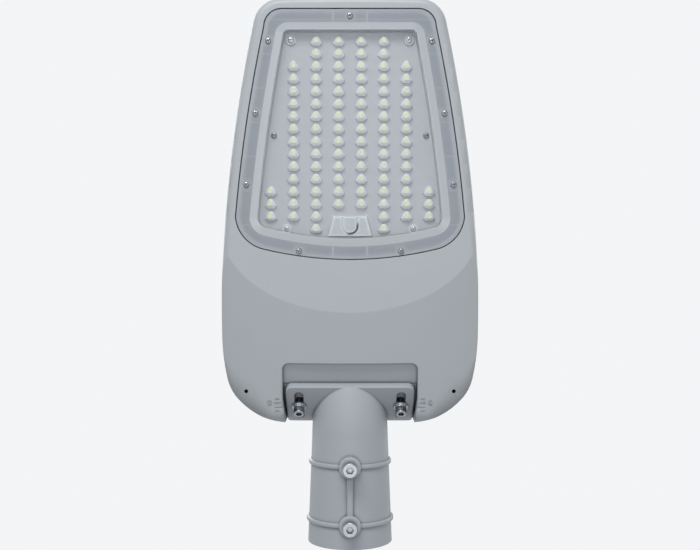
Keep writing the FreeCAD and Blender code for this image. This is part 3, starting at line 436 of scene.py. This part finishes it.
def lens_material(name):
    """Moulded lens plate: pale plastic and whiter lenses, with painted light and shade on the lenses by
    which way they face, a painted highlight on the wire cover's edges, a painted shadow in the groove round
    its tongue, and a pale yellow streak painted on each lens for the chip seen through it.
    """
    shader = Shader(name)
    lens, boss, hood = raised_forms(shader)
    # Painted light and shade: lens faces turned away from the nose are painted whiter than those turned
    # toward it.
    facing_for_painted_light = shader.step(shader.facing("Y"), start=-0.5, end=0.2)
    # Painted highlight: the wire cover's edges are painted near white.
    hood_edge_highlight = shader.product(hood, shader.edges(WIRE_COVER_HIGHLIGHT_REACH, flat=0.9995, round_over=0.97))
    layers = [
        (lens, shader.blend(facing_for_painted_light, srgb(255, 254, 254), srgb(240, 236, 240))),
        (boss, srgb(228, 229, 231)),
        (hood, srgb(208, 207, 209)),
        (hood_edge_highlight, srgb(246, 247, 248)),
        # Painted shadow: dark grey in the groove round the tongue.
        (shader.product(tongue_groove_painted_shadow(shader), hood), srgb(62, 68, 78)),
        # Painted streak: pale yellow on each lens, standing for the chip seen through it.
        (shader.product(painted_chip_streak(shader), lens), srgb(255, 248, 150)),
    ]
    color = shader.tint(srgb(201, 198, 200), amount=0.03, scale=30.0)
    for share, layer in layers:
        color = shader.blend(share, color, layer)
    shader.put("Base Color", color)
    shader.gloss(0.20, fall=0.06, rise=0.06, scale=90.0)
    shader.bump(shader.noise(scale=600.0, detail=2.0), strength=0.04, distance=0.0003, edge=0.0006)
    return shader.material


def cover_face(shader, level):
    """1 on the clear cover's outer face at a height, and 0 on its inner faces."""
    return shader.near(shader.math("SUBTRACT", shader.axis("Z"), level), COVER_FACE_REACH, COVER_FACE_FADE)


def cover_ribs(shader):
    """1 on the two long ribs behind the rim, less on the many short ones."""
    side = shader.math("SUBTRACT", shader.math("ABSOLUTE", shader.axis("X")), LONG_RIB_X)
    long_ribs = shader.near(side, LONG_RIB_HALF_WIDTH, LONG_RIB_FADE)
    rows = shader.cell(shader.axis("Y"), SHORT_RIB_PITCH)
    short_ribs = shader.near(rows, SHORT_RIB_HALF_WIDTH, SHORT_RIB_FADE)
    return shader.most(long_ribs, shader.product(short_ribs, SHORT_RIB_SHARE))


def clear_material(name):
    """Clear moulded cover: see-through in the middle, hazy on its bevel, lip and rim, with a painted
    highlight along its edges and painted light and shade on the bevel and lip by which way they face.
    """
    shader = Shader(name)
    shader.gloss(0.19, fall=0.05, rise=0.05, scale=40.0)
    shader.bump(shader.noise(scale=30.0, detail=2.0), strength=0.03, distance=0.001)
    upright = shader.math("ABSOLUTE", shader.facing("Z"))
    bevel = shader.rest(shader.step(upright, start=0.93, end=0.98))
    panel = cover_face(shader, COVER_PANEL_Z)
    lip = shader.product(shader.edges(COVER_LIP, flat=0.9995, round_over=0.985), panel)
    haze = shader.product(panel, PANEL_HAZE)
    rim = cover_face(shader, COVER_RIM_Z)
    for share, amount in ((bevel, BEVEL_HAZE), (lip, BEVEL_HAZE), (rim, RIM_HAZE)):
        haze = shader.most(haze, shader.product(share, amount))

    # Painted highlight: the cover's flat faces are lighter near their edges; the ribs behind the rim show
    # lighter too.
    off_edge_highlight = shader.rest(shader.edges(COVER_EDGE_HIGHLIGHT, flat=0.9999, round_over=0.962))
    off_edge_highlight = shader.product(off_edge_highlight, shader.rest(shader.product(cover_ribs(shader), RIB_SHARE)))
    flat = shader.blend(off_edge_highlight, shader.tint(srgb(170, 176, 182), amount=0.03, scale=25.0), srgb(146, 153, 162))
    # Painted light and shade: the bevel and lip are paler where they face away from the nose and darker
    # where they face toward it.
    facing_for_painted_light = shader.step(shader.facing("Y"), start=-0.45, end=0.45)
    slope_light_and_shade = shader.blend(facing_for_painted_light, srgb(222, 226, 230), srgb(172, 178, 184))
    shader.put("Base Color", shader.blend(shader.most(bevel, lip), flat, slope_light_and_shade))

    through = shader.node("BsdfTransparent")
    through.inputs["Color"].default_value = (0.96, 0.98, 0.985, 1.0)
    mix = shader.node("MixShader")
    shader.link(haze, mix.inputs["Fac"])
    shader.link(through.outputs["BSDF"], mix.inputs[1])
    shader.link(shader.body.outputs["BSDF"], mix.inputs[2])
    shader.link(mix.outputs["Shader"], shader.output.inputs["Surface"])
    return shader.material


def dress(name, material):
    """Gives a CAD node its material."""
    slots = nodes[name].data.materials
    slots.clear()
    slots.append(material)


def placed(name, data):
    """A new object in the scene for a mesh, lamp or camera."""
    made = bpy.data.objects.new(name, data)
    bpy.context.scene.collection.objects.link(made)
    return made


housing_paint = paint_material("housing_paint", srgb(168, 173, 177), 0.38, is_housing=True)
spigot_paint = paint_material("spigot_paint", srgb(161, 167, 172), 0.50)
lid_paint = paint_material("lid_paint", srgb(168, 173, 177), 0.38)
steel = steel_material("steel", srgb(150, 153, 158), 0.26)
bright_steel = steel_material("bright_steel", srgb(150, 152, 157), 0.18)
# Paler copy of the steel for the saddles and spring washers: painted light against the shade of the slots
# they sit in, with painted socket shade kept to the finest recesses.
washer_steel = steel_material("washer_steel", srgb(196, 198, 202), 0.24, WASHER_SOCKET_DISTANCE)
pale_steel = steel_material("pale_steel", srgb(206, 208, 211), 0.30, SMALL_SOCKET_DISTANCE,
                            side_color=srgb(138, 140, 144))
seal_rubber = plastic_material("seal_rubber", srgb(164, 170, 175), 0.7)
grommet_rubber = plastic_material("grommet_rubber", srgb(40, 41, 43), 0.6)
clear = clear_material("clear_cover")
lens_plastic = lens_material("lens_plastic")
board_mask = plastic_material("board_mask", srgb(225, 227, 226), 0.35)
chip_gel = plastic_material("chip_gel", srgb(236, 226, 110), 0.30)
pad_silicone = plastic_material("pad_silicone", srgb(150, 152, 156), 0.6)
driver_metal = plastic_material("driver_metal", srgb(186, 188, 190), 0.38, metallic=0.9)
block_plastic = plastic_material("block_plastic", srgb(224, 222, 214), 0.45)
surge_plastic = plastic_material("surge_plastic", srgb(96, 100, 106), 0.45)
lead_rubber = plastic_material("lead_rubber", srgb(34, 34, 36), 0.5)
black_plastic = plastic_material("black_plastic", srgb(32, 33, 35), 0.42)

NODE_MATERIALS = {
    "housing": housing_paint,
    "driver_cover": lid_paint,
    "spigot": spigot_paint,
    "driver_cover_seal": seal_rubber,
    "window_seal": seal_rubber,
    "wire_grommet": grommet_rubber,
    "driver_cover_screws": steel,
    "cover_screws": steel,
    "lens_plate_screws": pale_steel,
    "device_screws": steel,
    "earth_screw": steel,
    "pole_screws": bright_steel,
    "tilt_bolts": bright_steel,
    "tilt_saddles": washer_steel,
    "tilt_spring_washers": washer_steel,
    "window_cover": clear,
    "lens_plate": lens_plastic,
    "led_board": board_mask,
    "led_chips": chip_gel,
    "heat_pad": pad_silicone,
    "driver": driver_metal,
    "terminal_block": block_plastic,
    "surge_protector": surge_plastic,
    "led_lead": lead_rubber,
    "supply_lead": lead_rubber,
    "cable_clamp": black_plastic,
    "cable_gland": black_plastic,
    "gland_locknut": black_plastic,
    "breather": black_plastic,
}
for node_name, node_material in NODE_MATERIALS.items():
    dress(node_name, node_material)


def islands(name):
    """Lowest and highest corners of each separate solid in a CAD node, always in the same order."""
    mesh = bmesh.new()
    mesh.from_mesh(nodes[name].data)
    bmesh.ops.remove_doubles(mesh, verts=mesh.verts, dist=1e-6)
    left = set(mesh.verts)
    found = []
    while left:
        stack = [left.pop()]
        points = []
        while stack:
            vertex = stack.pop()
            points.append(vertex.co.copy())
            for edge in vertex.link_edges:
                other = edge.other_vert(vertex)
                if other in left:
                    left.remove(other)
                    stack.append(other)
        low = Vector([min(p[i] for p in points) for i in range(3)])
        high = Vector([max(p[i] for p in points) for i in range(3)])
        found.append((low, high))
    mesh.free()
    return sorted(found, key=lambda corners: tuple(corners[0]))


def solid_bars(name, boxes, material):
    """One mesh made of plain boxes given by their low and high corners."""
    sides = ((0, 1, 3, 2), (4, 6, 7, 5), (0, 4, 5, 1), (2, 3, 7, 6), (0, 2, 6, 4), (1, 5, 7, 3))
    points, faces = [], []
    for low, high in boxes:
        start = len(points)
        for x in (low[0], high[0]):
            for y in (low[1], high[1]):
                for z in (low[2], high[2]):
                    points.append((x, y, z))
        for side in sides:
            faces.append([start + corner for corner in side])
    mesh = bpy.data.meshes.new(name)
    mesh.from_pydata(points, [], faces)
    mesh.materials.append(material)
    return placed(name, mesh)


def tilt_scale():
    """Raised ticks and zeros cast beside the recess, on the curved underside."""
    housing = nodes["housing"].data
    tree = BVHTree.FromPolygons([v.co for v in housing.vertices],
                                [tuple(p.vertices) for p in housing.polygons])

    def bar(x, y, width, length):
        """Low and high corner of a bar that stands on the underside, from millimetres."""
        x, y, half_x, half_y = x * MM, y * MM, width / 2 * MM, length / 2 * MM
        level = tree.ray_cast(Vector((x, y, -1.0)), Vector((0.0, 0.0, 1.0)))[0].z
        return ((x - half_x, y - half_y, level - SCALE_PROUD * MM),
                (x + half_x, y + half_y, level + 2 * SCALE_PROUD * MM))

    boxes = []
    zero_x, zero_y = SCALE_ZERO
    half_x, half_y = SCALE_ZERO_SIZE
    for side in (1, -1):
        for x, y, width, length in SCALE_BARS:
            boxes.append(bar(side * x, y, width, length))
        for way in (1, -1):
            boxes.append(bar(side * zero_x + way * half_x, zero_y, 2 * SCALE_LINE, 2 * half_y))
            boxes.append(bar(side * zero_x, zero_y + way * half_y, 2 * half_x, 2 * SCALE_LINE))
    piece = solid_bars("tilt_scale", boxes, housing_paint)
    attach(piece, "head")


def turned_mesh(name, profile, sides):
    """Mesh of a profile of radii and heights turned round the z axis."""
    mesh = bmesh.new()
    rings = []
    for reach, z in profile:
        if reach == 0.0:
            rings.append([mesh.verts.new((0.0, 0.0, z))])
            continue
        turns = [2 * math.pi * number / sides for number in range(sides)]
        rings.append([mesh.verts.new((reach * math.cos(turn), reach * math.sin(turn), z)) for turn in turns])
    for first, second in zip(rings, rings[1:]):
        for number in range(sides):
            after = (number + 1) % sides
            corners = [first[number % len(first)], second[number % len(second)],
                       second[after % len(second)], first[after % len(first)]]
            mesh.faces.new(list(dict.fromkeys(corners)))
    bmesh.ops.recalc_face_normals(mesh, faces=mesh.faces)
    data = bpy.data.meshes.new(name)
    mesh.to_mesh(data)
    mesh.free()
    return data


def pan_head_mesh(radius, shank_length):
    """Domed head with a cross recess; the seat is at z 0 and the head reaches down."""
    tall = SCREW_HEAD_HEIGHT
    profile = [(reach * radius, -drop * tall) for reach, drop in PAN_PROFILE]
    profile += [(SCREW_SHANK_RADIUS, 0.0), (SCREW_SHANK_RADIUS, shank_length), (0.0, shank_length)]
    head = placed("pan_head", turned_mesh("pan_head", profile, SCREW_SIDES))
    long, short, bottom = CROSS_LONG * radius, CROSS_SHORT * radius, CROSS_DEEP * tall - tall
    for half_x, half_y in ((long, short), (short, long)):
        bit = solid_bars("cross_bit", [((-half_x, -half_y, -tall - MM), (half_x, half_y, bottom))], steel)
        cut = head.modifiers.new("cross", "BOOLEAN")
        cut.operation = "DIFFERENCE"
        cut.solver = "EXACT"
        cut.object = bit
        done = bpy.data.meshes.new_from_object(head.evaluated_get(bpy.context.evaluated_depsgraph_get()))
        head.modifiers.clear()
        head.data = done
        bpy.data.objects.remove(bit)
    bpy.data.objects.remove(head)
    return done


def pan_screws(node, material, turn_step):
    """Pan head screws in place of a CAD node's plain ones, each turned a little differently."""
    joined = bmesh.new()
    for number, (low, high) in enumerate(islands(node)):
        middle = (low + high) / 2
        data = pan_head_mesh((high.x - low.x) / 2, high.z - low.z - SCREW_HEAD_HEIGHT)
        start = len(joined.verts)
        joined.from_mesh(data)
        joined.verts.ensure_lookup_table()
        cosine, sine = math.cos(turn_step * number), math.sin(turn_step * number)
        for vertex in joined.verts[start:]:
            x, y, z = vertex.co
            vertex.co = (middle.x + x * cosine - y * sine, middle.y + x * sine + y * cosine,
                         low.z + SCREW_HEAD_HEIGHT + z)
    mesh = bpy.data.meshes.new(node + "_heads")
    joined.to_mesh(mesh)
    joined.free()
    mesh.materials.clear()
    mesh.materials.append(material)
    for face in mesh.polygons:
        face.material_index = 0
        face.use_smooth = False
    piece = placed(node + "_heads", mesh)
    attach(piece, "head")
    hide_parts(node)


def floor_sheet():
    """Plain pale floor, far below the head."""
    paper = Shader("floor_paper")
    paper.put("Base Color", paper.tint(FLOOR_COLOR, amount=0.02, scale=3.0))
    paper.put("Roughness", 0.9)
    paper.bump(paper.noise(scale=200.0), strength=0.05, distance=0.001)
    mesh = bpy.data.meshes.new("floor")
    turns = [2 * math.pi * number / FLOOR_SIDES for number in range(FLOOR_SIDES)]
    corners = [(FLOOR_RADIUS * math.cos(turn), FLOOR_MIDDLE_Y + FLOOR_RADIUS * math.sin(turn), FLOOR_Z)
               for turn in turns]
    mesh.from_pydata(corners, [], [tuple(range(FLOOR_SIDES))])
    mesh.materials.append(paper.material)
    made = placed("floor", mesh)
    made.visible_diffuse = False


def background(tree, color, strength):
    made = tree.nodes.new("ShaderNodeBackground")
    made.inputs["Color"].default_value = color
    made.inputs["Strength"].default_value = strength
    return made.outputs["Background"]


def pale_world():
    """Soft even light; the camera, gloss and clear parts see a pale grey."""
    world = bpy.data.worlds.new("studio")
    world.use_nodes = True
    tree = world.node_tree
    tree.nodes.clear()
    path = tree.nodes.new("ShaderNodeLightPath")
    sees = path.outputs["Is Camera Ray"]
    for kind in ("Is Transmission Ray", "Is Glossy Ray"):
        most = tree.nodes.new("ShaderNodeMath")
        most.operation = "MAXIMUM"
        tree.links.new(sees, most.inputs[0])
        tree.links.new(path.outputs[kind], most.inputs[1])
        sees = most.outputs["Value"]
    mix = tree.nodes.new("ShaderNodeMixShader")
    output = tree.nodes.new("ShaderNodeOutputWorld")
    tree.links.new(sees, mix.inputs["Fac"])
    tree.links.new(background(tree, SOFT_COLOR, SOFT_LIGHT), mix.inputs[1])
    tree.links.new(background(tree, BACKDROP_COLOR, 1.0), mix.inputs[2])
    tree.links.new(mix.outputs["Shader"], output.inputs["Surface"])
    bpy.context.scene.world = world


FLOOR_MIDDLE = (0.0, FLOOR_MIDDLE_Y, FLOOR_Z)
OVER_FLOOR = (0.0, FLOOR_MIDDLE_Y, FLOOR_Z + FLOOR_LIGHT_RISE)
HEAD_MIDDLE = (0.0, 0.27, 0.0)
SPIGOT_ROOT = (0.0, 0.08, 0.0)

# Lamps as name, place, target, size and watts
LAMPS = [
    ("floor_light", OVER_FLOOR, FLOOR_MIDDLE, (2 * FLOOR_RADIUS, 2 * FLOOR_RADIUS), 600.0),
    ("key_below", (0.28, 1.75, -1.12), (0.0, 0.20, 0.0), (1.3, 0.6), 24.5),
    ("front_below", (0.02, 0.26, -1.30), (0.0, 0.24, 0.0), (1.0, 1.0), 3.8),
    ("left_below", (0.95, 0.05, -0.45), SPIGOT_ROOT, (0.6, 0.6), 0.3),
    ("right_below", (-0.95, 0.05, -0.45), SPIGOT_ROOT, (0.6, 0.6), 0.9),
    ("key_above", (0.35, 0.55, 1.5), HEAD_MIDDLE, (0.9, 0.9), 14.0),
    ("left_above", (1.3, 0.35, 0.95), HEAD_MIDDLE, (0.9, 0.9), 3.5),
    ("right_above", (-1.3, 0.35, 0.95), HEAD_MIDDLE, (0.9, 0.9), 4.5),
]


def area_lamp(name, place, target, size, watts):
    """Rectangular lamp that looks at its target and stays out of the picture."""
    data = bpy.data.lights.new(name, "AREA")
    data.shape = "RECTANGLE"
    data.size, data.size_y = size
    data.energy = watts
    lamp = placed(name, data)
    lamp.location = place
    lamp.rotation_mode = "QUATERNION"
    lamp.rotation_quaternion = (Vector(target) - Vector(place)).to_track_quat("-Z", "Y")
    lamp.visible_camera = False


def camera():
    data = bpy.data.cameras.new("camera")
    data.sensor_width = SENSOR_WIDTH
    data.lens = FOCAL_PX / IMAGE_WIDTH * SENSOR_WIDTH
    data.clip_start = 0.01
    data.clip_end = 20.0
    made = placed("camera", data)
    made.location = (0.0, CAMERA_Y, UNDERSIDE_Z - CAMERA_DISTANCE)
    made.rotation_euler = (math.pi, 0.0, math.pi)
    bpy.context.scene.camera = made


tilt_scale()
pan_screws("cover_screws", steel, turn_step=0.7)
pan_screws("lens_plate_screws", pale_steel, turn_step=1.1)
pale_world()
floor_sheet()
for lamp in LAMPS:
    area_lamp(*lamp)
camera()
bpy.context.scene.view_settings.view_transform = "Standard"
